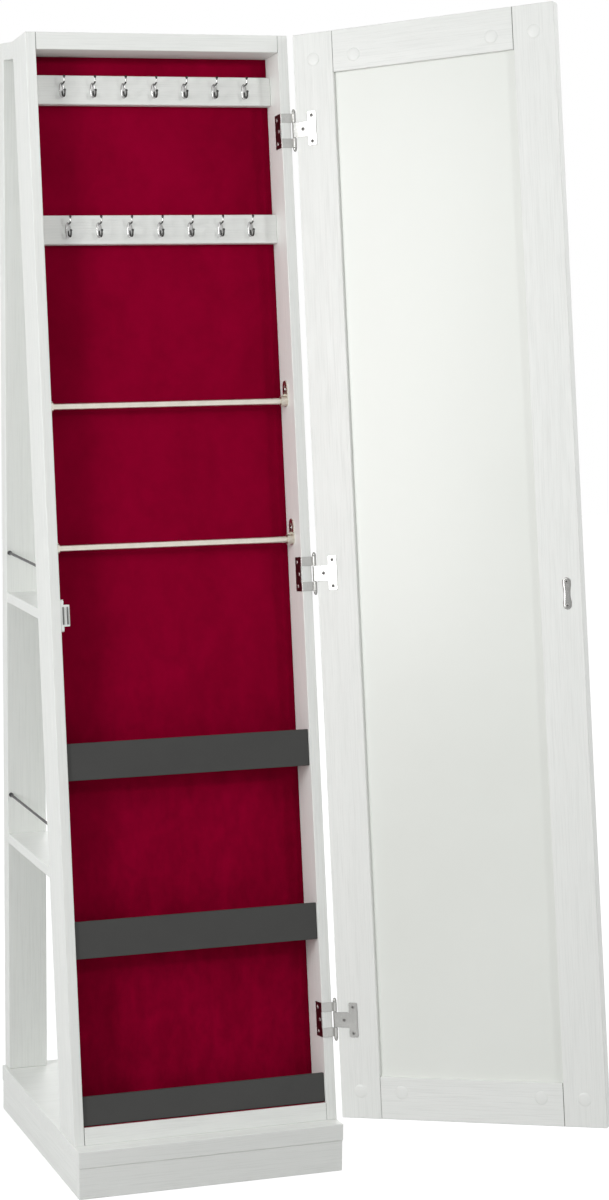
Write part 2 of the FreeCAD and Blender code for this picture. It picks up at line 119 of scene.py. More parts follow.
def spread(tree, source, low, high, fromLow=0.3, fromHigh=0.7):
    node = addNode(tree, "ShaderNodeMapRange",
                   {"From Min": fromLow, "From Max": fromHigh, "To Min": low, "To Max": high},
                   {"Value": source})
    return node.outputs["Result"]


def twoTone(tree, share, first, second):
    # each tone is a plain colour or another node's result
    mix = addNode(tree, "ShaderNodeMix", None, {"Factor": share}, {"data_type": "RGBA"})
    sockets = [socket for socket in mix.inputs if socket.type == "RGBA"]
    for socket, tone in zip(sockets, (first, second)):
        if isinstance(tone, tuple):
            socket.default_value = (*tone, 1)
        else:
            tree.links.new(tone, socket)
    return [socket for socket in mix.outputs if socket.type == "RGBA"][0]


def clouded(tree, clouds, dark, light):
    return twoTone(tree, spread(tree, clouds, 0, 1), dark, light)


def shaded(tree, colour, tone):
    shade = addNode(tree, "ShaderNodeVectorMath", None, {0: colour, "Scale": tone}, {"operation": "SCALE"})
    return shade.outputs[0]


def coat(tree, shader, colour, roughness):
    tree.links.new(colour, shader.inputs["Base Color"])
    tree.links.new(roughness, shader.inputs["Roughness"])


def bumpFrom(tree, shader, source, strength, depth):
    bump = addNode(tree, "ShaderNodeBump", {"Strength": strength, "Distance": depth}, {"Height": source})
    tree.links.new(bump.outputs["Normal"], shader.inputs["Normal"])


def grainTurn(direction):
    return Vector(direction).to_track_quat("Z", "Y").to_euler()


lacquer = {
    "light": (0.835, 0.850, 0.825),
    "dark": (0.780, 0.796, 0.771),
    "poreSize": (0.0016, 0.0016, 0.075),
    "pores": {"detail": 5.0, "roughness": 0.6, "distortion": 0.25},
    "poreRange": (0.36, 0.52),
    "poreStrength": 0.35,
    "poreDepth": 0.00022,
    "bandSize": (0.022, 0.022, 0.9),
    "bands": {"detail": 3.0, "roughness": 0.5, "distortion": 0.6},
    "bandLow": 0.55,
    "roughness": (0.36, 0.50),
    "seamTone": (0.22, 0.22, 0.21),
    "seamWidth": 0.0008,
}


def darkEnds(tree, colour, direction, middle, half):
    # thin dark joint line where a board butts against its neighbours
    along = addNode(tree, "ShaderNodeVectorMath", {1: direction}, {0: objectPlace(tree)},
                    {"operation": "DOT_PRODUCT"})
    reach = worked(tree, "ABSOLUTE", worked(tree, "SUBTRACT", along.outputs["Value"], middle))
    line = worked(tree, "GREATER_THAN", reach, half - lacquer["seamWidth"])
    return twoTone(tree, line, colour, lacquer["seamTone"])


def lacquerMaterial(name, direction, ends=None):
    # white lacquer over an open wood grain that runs along the board
    material, tree, shader = startMaterial(name)
    turn = grainTurn(direction)
    pores = cloudNoise(tree, objectPattern(tree, lacquer["poreSize"], turn), **lacquer["pores"])
    bands = cloudNoise(tree, objectPattern(tree, lacquer["bandSize"], turn), **lacquer["bands"])
    poreMask = spread(tree, pores, 0.0, 1.0, *lacquer["poreRange"])
    bandMask = spread(tree, bands, lacquer["bandLow"], 1.0)
    colour = twoTone(tree, worked(tree, "MULTIPLY", poreMask, bandMask), lacquer["dark"], lacquer["light"])
    if ends:
        colour = darkEnds(tree, colour, *ends)
    smooth, rough = lacquer["roughness"]
    coat(tree, shader, colour, spread(tree, pores, rough, smooth))
    bumpFrom(tree, shader, poreMask, lacquer["poreStrength"], lacquer["poreDepth"])
    return material


satin = {
    "light": (0.812, 0.833, 0.793),
    "dark": (0.787, 0.809, 0.767),
    "clouds": {"scale": 4.0, "detail": 3.0},
    "peel": {"scale": 420.0, "detail": 2.0},
    "peelStrength": 0.05,
    "peelDepth": 0.0001,
    "roughness": (0.23, 0.27),
    "specular": 0.275,
}


def panelMaterial():
    # smooth satin board inside the door
    material, tree, shader = startMaterial("satinPanel", {"Specular IOR Level": satin["specular"]})
    pattern = objectPattern(tree)
    clouds = cloudNoise(tree, pattern, **satin["clouds"])
    peel = cloudNoise(tree, pattern, **satin["peel"])
    coat(tree, shader, clouded(tree, clouds, satin["dark"], satin["light"]),
         spread(tree, clouds, *satin["roughness"]))
    bumpFrom(tree, shader, peel, satin["peelStrength"], satin["peelDepth"])
    return material


velvet = {
    "light": (0.316, 0.0005, 0.0279),
    "dark": (0.196, 0.0003, 0.0154),
    "napStretch": (1, 1, 1.7),
    "nap": {"scale": 11.0, "detail": 4.0, "roughness": 0.6, "distortion": 0.4},
    "patches": {"scale": 55.0, "detail": 3.0, "roughness": 0.65},
    "patchShare": 0.5,
    "napShare": 0.5,
    "fibre": {"scale": 1400.0, "detail": 3.0, "roughness": 0.7},
    "fibreStrength": 0.5,
    "fibreDepth": 0.0004,
    "roughness": (0.82, 0.96),
    "gloss": {
        "Sheen Weight": 0.16,
        "Sheen Roughness": 0.45,
        "Sheen Tint": (0.80, 0.0, 0.06, 1),
        "Specular IOR Level": 0.015,
    },
    # painted shade along each side of the velvet, painted bounce light at its rim
    "sideShadeReach": (0.125, 0.165),
    "sideShadeTone": 0.89,
    "sideShadeWaver": 0.02,
    "rimLightReach": (0.168, 0.182),
    "rimLightLift": 0.14,
    "strokeStretch": (1, 1, 2.2),
    "strokes": {"scale": 44.0, "detail": 4.0, "roughness": 0.65, "distortion": 0.3},
    "strokeSwing": 0.16,
    "strokeDrop": 0.07,
    "strokeHeights": (0.35, 0.95),
}


def brushedLow(tree, colour):
    # uneven upright strokes that grow stronger and a little darker towards the bottom
    strokes = cloudNoise(tree, objectPattern(tree, velvet["strokeStretch"]), **velvet["strokes"])
    swing = velvet["strokeSwing"]
    drop = velvet["strokeDrop"]
    change = spread(tree, strokes, -swing - drop, swing - drop)
    share = spread(tree, objectAxis(tree, 2), 1.0, 0.0, *velvet["strokeHeights"])
    return shaded(tree, colour, worked(tree, "MULTIPLY_ADD", change, share, 1.0))


def paintedSideShade(tree, patches, colour):
    # painted shade: the velvet is darker in a strip along each side, where the side walls shade it, with a
    # wavering edge, and a painted rim of bounce light right at the walls
    across = worked(tree, "ABSOLUTE", objectAxis(tree, 0))
    waver = worked(tree, "MULTIPLY_ADD", patches, velvet["sideShadeWaver"], across)
    tone = spread(tree, waver, 1.0, velvet["sideShadeTone"], *velvet["sideShadeReach"])
    rim = spread(tree, across, 0.0, velvet["rimLightLift"], *velvet["rimLightReach"])
    return shaded(tree, colour, worked(tree, "ADD", tone, rim))


def velvetMaterial():
    # brushed crimson pile: lighter and darker strokes of the nap, fine fibre bump
    material, tree, shader = startMaterial("crimsonVelvet", velvet["gloss"])
    pattern = objectPattern(tree)
    nap = cloudNoise(tree, objectPattern(tree, velvet["napStretch"]), **velvet["nap"])
    patches = cloudNoise(tree, pattern, **velvet["patches"])
    fibre = cloudNoise(tree, pattern, **velvet["fibre"])
    napTone = spread(tree, nap, 0.0, velvet["napShare"])
    blend = worked(tree, "MULTIPLY_ADD", patches, velvet["patchShare"], napTone)
    colour = twoTone(tree, blend, velvet["dark"], velvet["light"])
    # painted side shade and rim light, then the strokes of the lower bays
    colour = brushedLow(tree, paintedSideShade(tree, patches, colour))
    coat(tree, shader, colour, spread(tree, fibre, *velvet["roughness"]))
    bumpFrom(tree, shader, fibre, velvet["fibreStrength"], velvet["fibreDepth"])
    return material


paintTexture = {
    "clouds": {"scale": 14.0, "detail": 4.0},
    "grain": {"detail": 3.0, "roughness": 0.6},
    "grainDepth": 0.0002,
    "roughSwing": 0.06,
}


def paintMaterial(name, light, dark, roughness, grainScale, bump):
    # moulded or sprayed surface with a fine even texture
    material, tree, shader = startMaterial(name)
    pattern = objectPattern(tree)
    clouds = cloudNoise(tree, pattern, **paintTexture["clouds"])
    grain = cloudNoise(tree, pattern, grainScale, **paintTexture["grain"])
    swing = paintTexture["roughSwing"]
    coat(tree, shader, clouded(tree, clouds, dark, light),
         spread(tree, grain, roughness - swing, roughness + swing))
    bumpFrom(tree, shader, grain, bump, paintTexture["grainDepth"])
    return material


metalTexture = {
    "clouds": {"scale": 60.0, "detail": 3.0},
    "brush": {"detail": 4.0, "roughness": 0.6},
    "brushStrength": 0.08,
    "brushDepth": 0.00005,
    "roughDrop": 0.05,
    "roughRise": 0.08,
}


def metalMaterial(name, light, dark, roughness, brushSize, direction=(0, 0, 1)):
    # metal with fine brush lines along one direction
    material, tree, shader = startMaterial(name, {"Metallic": 1.0})
    brush = cloudNoise(tree, objectPattern(tree, brushSize, grainTurn(direction)), **metalTexture["brush"])
    clouds = cloudNoise(tree, objectPattern(tree), **metalTexture["clouds"])
    coat(tree, shader, clouded(tree, clouds, dark, light),
         spread(tree, brush, roughness - metalTexture["roughDrop"], roughness + metalTexture["roughRise"]))
    bumpFrom(tree, shader, brush, metalTexture["brushStrength"], metalTexture["brushDepth"])
    return material


silver = {
    "light": (0.90, 0.925, 0.915),
    "dark": (0.885, 0.912, 0.902),
    "haze": {"scale": 7.0, "detail": 3.0},
    "roughness": (0.008, 0.016),
}


def mirrorMaterial():
    # silvering with a faint uneven haze
    material, tree, shader = startMaterial("silveredGlass", {"Metallic": 1.0})
    haze = cloudNoise(tree, objectPattern(tree), **silver["haze"])
    coat(tree, shader, clouded(tree, haze, silver["dark"], silver["light"]),
         spread(tree, haze, *silver["roughness"]))
    return material


upright = Vector((0, 0, 1))
sideways = Vector((1, 0, 0))
leanUp = leanFrame.to_3x3() @ upright
doorAcross = doorFrame.to_3x3() @ sideways
boxSeams = (sideways, 0.0, cabinetFit["innerHalf"])
railSeams = (doorAcross, doorFrame.translation.dot(doorAcross), cabinetFit["railHalf"])
paints = {
    "lip": {
        "name": "greyLip", "light": (0.040, 0.040, 0.038), "dark": (0.034, 0.034, 0.0325),
        "roughness": 0.62, "grainScale": 900.0, "bump": 0.12,
    },
    "plastic": {
        "name": "whitePlastic", "light": (0.84, 0.855, 0.83), "dark": (0.80, 0.815, 0.79),
        "roughness": 0.38, "grainScale": 700.0, "bump": 0.05,
    },
    "blackRod": {
        "name": "blackRodPaint", "light": (0.022, 0.022, 0.023), "dark": (0.014, 0.014, 0.015),
        "roughness": 0.34, "grainScale": 900.0, "bump": 0.06,
    },
    # near-black paint for the painted shade in the screw recesses
    "recess": {
        "name": "screwRecess", "light": (0.030, 0.030, 0.029), "dark": (0.018, 0.018, 0.017),
        "roughness": 0.6, "grainScale": 400.0, "bump": 0.1,
    },
}
hookBrush = (0.0006, 0.0006, 0.003)
leafBrush = (0.0005, 0.0005, 0.012)
screwBrush = (0.0006, 0.0006, 0.0006)
metals = {
    # the hook's chrome is painted as copies: the wire near black as a painted dark reflection, the plate
    # lighter as a painted highlight
    "chrome": {
        "name": "hookChrome", "light": (0.075, 0.075, 0.074), "dark": (0.045, 0.045, 0.044),
        "roughness": 0.07, "brushSize": hookBrush,
    },
    "hookPlate": {
        "name": "hookPlateChrome", "light": (0.52, 0.52, 0.515), "dark": (0.36, 0.36, 0.355),
        "roughness": 0.12, "brushSize": hookBrush,
    },
    # a bright copy of the chrome: painted highlight on the upper prong
    "hookNeckHighlight": {
        "name": "hookNeckChrome", "light": (0.72, 0.72, 0.71), "dark": (0.60, 0.60, 0.59),
        "roughness": 0.12, "brushSize": hookBrush,
    },
    "rod": {
        "name": "satinRod", "light": (0.72, 0.685, 0.605), "dark": (0.64, 0.605, 0.53),
        "roughness": 0.28, "brushSize": (0.0005, 0.0005, 0.03), "direction": sideways,
    },
    "armSteel": {
        "name": "hingeArmSteel", "light": (0.49, 0.49, 0.472), "dark": (0.43, 0.43, 0.415),
        "roughness": 0.30, "brushSize": leafBrush, "direction": leanUp,
    },
    "leafSteel": {
        "name": "hingeLeafSteel", "light": (0.39, 0.39, 0.375), "dark": (0.34, 0.34, 0.328),
        "roughness": 0.20, "brushSize": leafBrush, "direction": leanUp,
    },
    "strike": {
        "name": "strikeSteel", "light": (0.33, 0.33, 0.32), "dark": (0.27, 0.27, 0.26),
        "roughness": 0.08, "brushSize": leafBrush, "direction": leanUp,
    },
    "pole": {
        "name": "poleSteel", "light": (0.16, 0.16, 0.155), "dark": (0.11, 0.11, 0.107),
        "roughness": 0.34, "brushSize": (0.0005, 0.0005, 0.010), "direction": leanUp,
    },
    # a darker copy of the hinge steel: painted shade and painted dark reflection on the plates inside the
    # box
    "shadedPlateSteel": {
        "name": "hingePlateSteel", "light": (0.20, 0.175, 0.170), "dark": (0.13, 0.112, 0.108),
        "roughness": 0.34, "brushSize": (0.0006, 0.0006, 0.004), "direction": leanUp,
    },
    # a pale, pinkish copy of the screw zinc: painted highlight on the wall screws against the darker plates
    "wallScrew": {
        "name": "paleScrewZinc", "light": (0.86, 0.80, 0.79), "dark": (0.76, 0.70, 0.69),
        "roughness": 0.50, "brushSize": screwBrush,
    },
    "screw": {
        "name": "screwZinc", "light": (0.36, 0.355, 0.34), "dark": (0.30, 0.295, 0.285),
        "roughness": 0.22, "brushSize": screwBrush,
    },
    "leafScrew": {
        "name": "dullScrewZinc", "light": (0.33, 0.327, 0.315), "dark": (0.26, 0.257, 0.248),
        "roughness": 0.50, "brushSize": screwBrush,
    },
    "fitting": {
        "name": "zincFitting", "light": (0.36, 0.36, 0.36), "dark": (0.29, 0.29, 0.29),
        "roughness": 0.40, "brushSize": (0.001, 0.001, 0.002),
    },
}
finishes = {
    "grainAcross": lacquerMaterial("lacquerAcross", sideways),
    "grainDeep": lacquerMaterial("lacquerDeep", (0, 1, 0)),
    "grainUpright": lacquerMaterial("lacquerUpright", upright),
    "grainLeaning": lacquerMaterial("lacquerLeaning", leanUp),
    "grainBoxEnd": lacquerMaterial("lacquerBoxEnd", sideways, boxSeams),
    "grainDoorRail": lacquerMaterial("lacquerDoorRail", doorAcross, railSeams),
    "panel": panelMaterial(),
    "velvet": velvetMaterial(),
    "mirror": mirrorMaterial(),
    **{key: paintMaterial(**paint) for key, paint in paints.items()},
    **{key: metalMaterial(**metal) for key, metal in metals.items()},
}
levels = ("upper", "middle", "lower")
pair = ("upper", "lower")
four = [level + side for level in pair for side in ("_left", "_right")]
nodeFinish = {
    "grainAcross": ["plinth_top", "plinth_front_skirt", "plinth_back_skirt", "rear_top_board",
                    "upper_shelf", "lower_shelf", "upper_hook_rail", "lower_hook_rail",
                    "upper_tray_shelf", "middle_tray_shelf"],
    "grainBoxEnd": ["cabinet_top", "cabinet_bottom"],
    "grainDeep": ["plinth_left_skirt", "plinth_right_skirt"],
    "grainUpright": ["left_post", "right_post"],
    "grainLeaning": ["cabinet_left_side", "cabinet_right_side", "cabinet_back", "door_hinge_stile",
                     "door_free_stile"],
    "grainDoorRail": ["door_top_rail", "door_bottom_rail"],
    "panel": ["door_back_panel"],
    "mirror": ["door_mirror"],
    "velvet": ["velvet_back_lining"] + [level + "_tray_liner" for level in levels],
    "lip": [level + "_tray_lip" for level in levels],
    "plastic": ["catch_body", "door_cap_plugs"],
    "blackRod": [place + "_guard_rod" for place in four],
    "chrome": [level + "_hooks" for level in pair],
    "rod": [level + "_hanging_rod" for level in pair] + [place + "_rod_bracket" for place in four],
    "armSteel": [level + "_hinge_cabinet_leaf" for level in levels],
    "leafSteel": [level + "_hinge_door_leaf" for level in levels] + ["hinge_pins"],
    "strike": ["strike_plate"],
    "screw": ["cabinet_screws", "door_screws"],
    "pole": ["catch_pole_plates"],
    "fitting": ["door_corner_cams", "door_corner_bolts"],
}
for finish, members in nodeFinish.items():
    for member in members:
        cadNodes[member].data.materials.clear()
        cadNodes[member].data.materials.append(finishes[finish])
print("materials made:", len(finishes))


# pieces

def addObject(name, data):
    thing = bpy.data.objects.new(name, data)
    bpy.context.scene.collection.objects.link(thing)
    return thing


def addPiece(name, mesh, body):
    piece = addObject(name, mesh)
    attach(piece, body)
    return piece


def meshFrom(name, shape):
    mesh = bpy.data.meshes.new(name)
    shape.to_mesh(mesh)
    shape.free()
    return mesh


def paintFaces(mesh, finish, chosen):
    # a baked mesh keeps an empty first slot, so one more finish goes last and only to the chosen faces
    mesh.materials.append(finishes[finish])
    for face in mesh.polygons:
        if chosen(face):
            face.material_index = len(mesh.materials) - 1


velvetCut = {
    "cell": 0.012,
    "fewestColumns": 8,
    "fewestRows": 4,
    "margin": 0.0004,
    "edgeTuck": 0.0006,
    "ripple": 0.00018,
    "rippleAcross": 61,
    "rippleAlong": 47,
    "rippleSlant": 19,
    "swayRate": 23,
    "swayReach": 1.7,
    "calmEdge": 0.03,
    "smoothTilt": 0.5,
}


def clothRise(x, y, edge):
    # shallow ripples that calm down near the edge, where the cloth is tucked in
    dip = velvetCut["edgeTuck"] * max(0.0, 1 - edge / velvetCut["cell"]) ** 2
    sway = math.sin(y * velvetCut["swayRate"]) * velvetCut["swayReach"]
    wave = math.sin(x * velvetCut["rippleAcross"] + sway)
    wave *= math.sin(y * velvetCut["rippleAlong"] + x * velvetCut["rippleSlant"])
    return velvetCut["ripple"] * wave * min(1.0, edge / velvetCut["calmEdge"]) - dip


def clothMesh(name, width, length, thickness):
    # thin cloth slab: a fine grid for its face, a flat back and a closed border
    columns = max(velvetCut["fewestColumns"], round(width / velvetCut["cell"]))
    rows = max(velvetCut["fewestRows"], round(length / velvetCut["cell"]))
    shape = bmesh.new()
    grid = {}
    for row in range(rows + 1):
        for column in range(columns + 1):
            x = (column / columns - 0.5) * width
            y = (row / rows - 0.5) * length
            edge = min(width / 2 - abs(x), length / 2 - abs(y))
            level = thickness - velvetCut["ripple"] + clothRise(x, y, edge)
            grid[row, column, 1] = shape.verts.new((x, y, level))
            grid[row, column, 0] = shape.verts.new((x, y, 0))
    for row in range(rows):
        for column in range(columns):
            corners = ((row, column), (row, column + 1), (row + 1, column + 1), (row + 1, column))
            shape.faces.new([grid[r, c, 1] for r, c in corners])
            shape.faces.new([grid[r, c, 0] for r, c in reversed(corners)])
    border = [(0, c) for c in range(columns)] + [(r, columns) for r in range(rows)]
    border += [(rows, c) for c in range(columns, 0, -1)] + [(r, 0) for r in range(rows, 0, -1)]
    for here, after in zip(border, border[1:] + border[:1]):
        shape.faces.new([grid[(*here, 0)], grid[(*after, 0)], grid[(*after, 1)], grid[(*here, 1)]])
    mesh = meshFrom(name, shape)
    for polygon in mesh.polygons:
        polygon.use_smooth = abs(polygon.normal.z) > velvetCut["smoothTilt"]
    return mesh


def velvetPiece(name, node, width, length, thickness, place):
    mesh = clothMesh(name, width, length, thickness)
    mesh.transform(leanFrame @ place)
    mesh.materials.append(finishes["velvet"])
    piece = addPiece(name, mesh, "cabinet")
    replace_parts(piece, node)


liningSize = {"thickness": 0.0015}
# the lowest liner runs out under its lip and shows as a thin red line
linerSize = {"thickness": 0.0012, "front": 0.010, "lowFront": 0.0035}
trayFloors = {"upper": 0.5255, "middle": 0.2725, "lower": 0.025}


def makeVelvet():
    margin = velvetCut["margin"]
    width = 2 * (cabinetFit["innerHalf"] - margin)
    low = cabinetFit["boxFloor"] + margin
    high = cabinetFit["boxCeiling"] - margin
    thickness = liningSize["thickness"]
    backSpot = (0, cabinetFit["liningFace"] + thickness, (low + high) / 2)
    backPlace = Matrix.Translation(backSpot) @ Matrix.Rotation(math.pi / 2, 4, "X")
    velvetPiece("velvetBack", "velvet_back_lining", width, high - low, thickness, backPlace)
    for tray, floor in trayFloors.items():
        front = linerSize["lowFront"] if tray == "lower" else linerSize["front"]
        depth = cabinetFit["liningFace"] - front - 2 * margin
        place = Matrix.Translation((0, front + margin + depth / 2, floor))
        velvetPiece(tray + "TrayVelvet", tray + "_tray_liner", width, depth, linerSize["thickness"], place)


makeVelvet()
print("velvet laid")


# repeated hardware from node trees

def startTree(name, sizes=(), parts=()):
    # a tree takes points and a material, and some take sizes or a part to copy
    tree = bpy.data.node_groups.new(name, "GeometryNodeTree")
    kinds = {
        "Geometry": "NodeSocketGeometry",
        **dict.fromkeys(sizes, "NodeSocketFloat"),
        **dict.fromkeys(parts, "NodeSocketObject"),
        "Material": "NodeSocketMaterial",
    }
    for label, kind in kinds.items():
        tree.interface.new_socket(label, in_out="INPUT", socket_type=kind)
    tree.interface.new_socket("Geometry", in_out="OUTPUT", socket_type="NodeSocketGeometry")
    return tree, tree.nodes.new("NodeGroupInput")


def joinAll(tree, parts):
    join = tree.nodes.new("GeometryNodeJoinGeometry")
    for part in parts:
        tree.links.new(part, join.inputs["Geometry"])
    return join.outputs["Geometry"]


def placed(tree, part, values, links=None):
    node = addNode(tree, "GeometryNodeTransform", values, {"Geometry": part, **(links or {})})
    return node.outputs["Geometry"]


def sizeFrom(tree, entry, labels):
    # up to three of the tree's sizes as one vector, in order, None for nought
    links = {axis: entry.outputs[label] for axis, label in enumerate(labels) if label}
    return addNode(tree, "ShaderNodeCombineXYZ", None, links).outputs[0]


def domeFrom(tree, entry, labels, sides, shift=(0, 0, 0)):
    # ball drawn out to three of the tree's sizes
    ball = addNode(tree, "GeometryNodeMeshUVSphere", {**sides, "Radius": 1.0})
    size = sizeFrom(tree, entry, labels)
    return placed(tree, ball.outputs["Mesh"], {"Translation": shift}, {"Scale": size})


def smallBall(tree, radius, sides, place):
    ball = addNode(tree, "GeometryNodeMeshUVSphere", sides, {"Radius": radius})
    return placed(tree, ball.outputs["Mesh"], place)


def finishTree(tree, entry, part, smooth=True):
    # one copy at each point, turned to its facing, made real, given its material
    facing = addNode(tree, "GeometryNodeInputNamedAttribute", {"Name": "facing"}, None,
                     {"data_type": "FLOAT_VECTOR"})
    turn = addNode(tree, "FunctionNodeAlignRotationToVector", None, {"Vector": facing.outputs["Attribute"]},
                   {"axis": "Z"})
    shade = addNode(tree, "GeometryNodeSetShadeSmooth", {"Shade Smooth": smooth}, {"Geometry": part})
    copies = addNode(tree, "GeometryNodeInstanceOnPoints", None,
                     {"Points": entry.outputs["Geometry"], "Instance": shade.outputs["Geometry"],
                      "Rotation": turn.outputs["Rotation"]})
    real = addNode(tree, "GeometryNodeRealizeInstances", None, {"Geometry": copies.outputs["Instances"]})
    paint = addNode(tree, "GeometryNodeSetMaterial", None,
                    {"Geometry": real.outputs["Geometry"], "Material": entry.outputs["Material"]})
    addNode(tree, "NodeGroupOutput", None, {"Geometry": paint.outputs["Geometry"]})
    return tree


def bakedMesh(thing):
    bpy.context.view_layer.update()
    return bpy.data.meshes.new_from_object(thing.evaluated_get(bpy.context.evaluated_depsgraph_get()))


def bakePoints(name, tree, points, facings, values, place):
    # points carry the facing of each copy; the tree's result becomes a plain mesh
    base = bpy.data.meshes.new(name + "Points")
    base.from_pydata([tuple(point) for point in points], [], [])
    facing = base.attributes.new("facing", "FLOAT_VECTOR", "POINT")
    for number, direction in enumerate(facings):
        facing.data[number].vector = direction
    carrier = addObject(name + "Points", base)
    modifier = carrier.modifiers.new("copies", "NODES")
    modifier.node_group = tree
    for item in tree.interface.items_tree:
        if item.item_type == "SOCKET" and item.in_out == "INPUT" and item.name in values:
            modifier[item.identifier] = values[item.name]
    mesh = bakedMesh(carrier)
    carrier.modifiers.remove(modifier)
    bpy.data.objects.remove(carrier)
    mesh.name = name
    mesh.transform(place)
    return mesh


hookRow = {
    "count": 7,
    "pitch": 0.0465,
    "shift": 0.0025,
    "railFace": 0.0385,
    "middles": {"upper": 1.509, "lower": 1.306},
    "prong": {"Start": (0, 0.008, 0.0005), "Start Handle": (0, 0.0080, 0.0150),
              "End Handle": (0, 0.0085, 0.0152), "End": (0, 0.0165, 0.0150)},
    "curl": {"Start": (0, -0.0015, 0.0012), "Start Handle": (0, -0.0125, 0.0024),
             "End Handle": (0, -0.0150, 0.0158), "End": (0, -0.0035, 0.0155)},
    "neck": (0.0100, 0.0145),
    "wireSides": 14,
    "wireSteps": 20,
    "ballSides": {"Segments": 18, "Rings": 12},
    "ballShift": 0.001,
    "plateSides": {"Segments": 28, "Rings": 14},
    "plateShift": -0.0005,
    "screwSides": {"Segments": 14, "Rings": 8},
    "screwHeights": (0.0088, -0.0098),
    "screwLift": 0.0011,
    "screwFlat": 0.6,
    # from here on the inputs of the node trees, by their own labels
    "Wire radius": 0.00125,
    "Ball radius": 0.0019,
    "Plate half width": 0.0042,
    "Plate half height": 0.0115,
    "Plate rise": 0.0021,
    "Screw radius": 0.0013,
}


def wireTree():
    # wire of a double hook, facing +Z: out of the rail is +Z, up the rail is +Y
    tree, entry = startTree("hookWire", ("Wire radius", "Ball radius"))
    wireRing = addNode(tree, "GeometryNodeCurvePrimitiveCircle", {"Resolution": hookRow["wireSides"]},
                       {"Radius": entry.outputs["Wire radius"]})
    parts = []
    for bend in (hookRow["prong"], hookRow["curl"]):
        path = addNode(tree, "GeometryNodeCurvePrimitiveBezierSegment",
                       {"Resolution": hookRow["wireSteps"], **bend}, None, {"mode": "POSITION"})
        wire = addNode(tree, "GeometryNodeCurveToMesh", {"Fill Caps": True},
                       {"Curve": path.outputs["Curve"], "Profile Curve": wireRing.outputs["Curve"]})
        knob = {"Translation": (0, bend["End"][1] + hookRow["ballShift"], bend["End"][2])}
        parts.append(wire.outputs["Mesh"])
        parts.append(smallBall(tree, entry.outputs["Ball radius"], hookRow["ballSides"], knob))
    return finishTree(tree, entry, joinAll(tree, parts))


def plateTree():
    # domed oval plate of a hook with its two screws
    plate = ("Plate half width", "Plate half height", "Plate rise")
    tree, entry = startTree("hookPlate", (*plate, "Screw radius"))
    parts = [domeFrom(tree, entry, plate, hookRow["plateSides"], (0, hookRow["plateShift"], 0))]
    for height in hookRow["screwHeights"]:
        spot = {"Translation": (0, height, hookRow["screwLift"]), "Scale": (1, 1, hookRow["screwFlat"])}
        parts.append(smallBall(tree, entry.outputs["Screw radius"], hookRow["screwSides"], spot))
    return finishTree(tree, entry, joinAll(tree, parts))


def paintedNeckHighlight(mesh, place):
    # painted highlight: the upper prong takes a bright copy of the chrome between its dark foot and its dark
    # tip
    onRail = place.inverted()
    low, high = hookRow["neck"]
    paintFaces(mesh, "hookNeckHighlight", lambda face: low < (onRail @ face.center).y < high)


def makeHooks():
    trees = {"HookWires": (wireTree(), "chrome"), "HookPlates": (plateTree(), "hookPlate")}
    first = hookRow["shift"] - hookRow["pitch"] * (hookRow["count"] - 1) / 2
    points = [(first + hookRow["pitch"] * number, 0, 0) for number in range(hookRow["count"])]
    for row, middle in hookRow["middles"].items():
        # rail face turned to +Z for the tree: x across, y up the rail, z out of it
        spot = (0, hookRow["railFace"], middle)
        place = leanFrame @ Matrix.Translation(spot) @ Matrix.Rotation(math.pi / 2, 4, "X")
        for kind, (tree, finish) in trees.items():
            values = {**hookRow, "Material": finishes[finish]}
            mesh = bakePoints(row + kind, tree, points, [(0, 0, 1)] * len(points), values, place)
            if kind == "HookWires":
                paintedNeckHighlight(mesh, place)
            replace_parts(addPiece(row + kind, mesh, "cabinet"), row + "_hooks")


makeHooks()
print("hooks made")

hingeShape = {
    "heights": {"lower": 0.145, "middle": 0.795, "upper": 1.445},
    "leaf": 0.0012,
    "halfHeight": 0.025,
    "neckHalf": 0.011,
    "windowHalf": 0.0117,
    "wallDepth": 0.023,
    "wallBend": 0.0009,
    "bendSteps": 6,
    "armJog": 0.1992,
    "armSteps": 6,
    "rollRadius": 0.0023,
    "rollStart": 90,
    "rollEnd": -212,
    "rollSteps": 28,
    "plate": (0.167, 0.180),
    "plateCorner": 0.002,
    "cornerSteps": 5,
    "doorFace": -0.002,
    "edge": 0.0002,
    "edgeAngle": 40,
    "sharpAngle": 25,
}
pinShape = {
    "shaft": 0.0015,
    "tip": ((0.0024, 0.0), (0.0028, 0.0006), (0.0028, 0.0022),
            (0.0023, 0.0042), (0.0015, 0.0058), (0.0006, 0.0065)),
    "sides": 24,
    "sharpAngle": 50,
}


def aroundPin(radius, turn):
    return hingePlace.x + radius * math.cos(turn), hingePlace.y + radius * math.sin(turn)


def rolledEnd():
    # leaf rolled round the pin, from the top of the barrel to its butted end
    start = hingeShape["rollStart"]
    sweep = hingeShape["rollEnd"] - start
    steps = hingeShape["rollSteps"]
    turns = [math.radians(start + sweep * step / steps) for step in range(steps + 1)]
    return [aroundPin(hingeShape["rollRadius"], turn) for turn in turns]


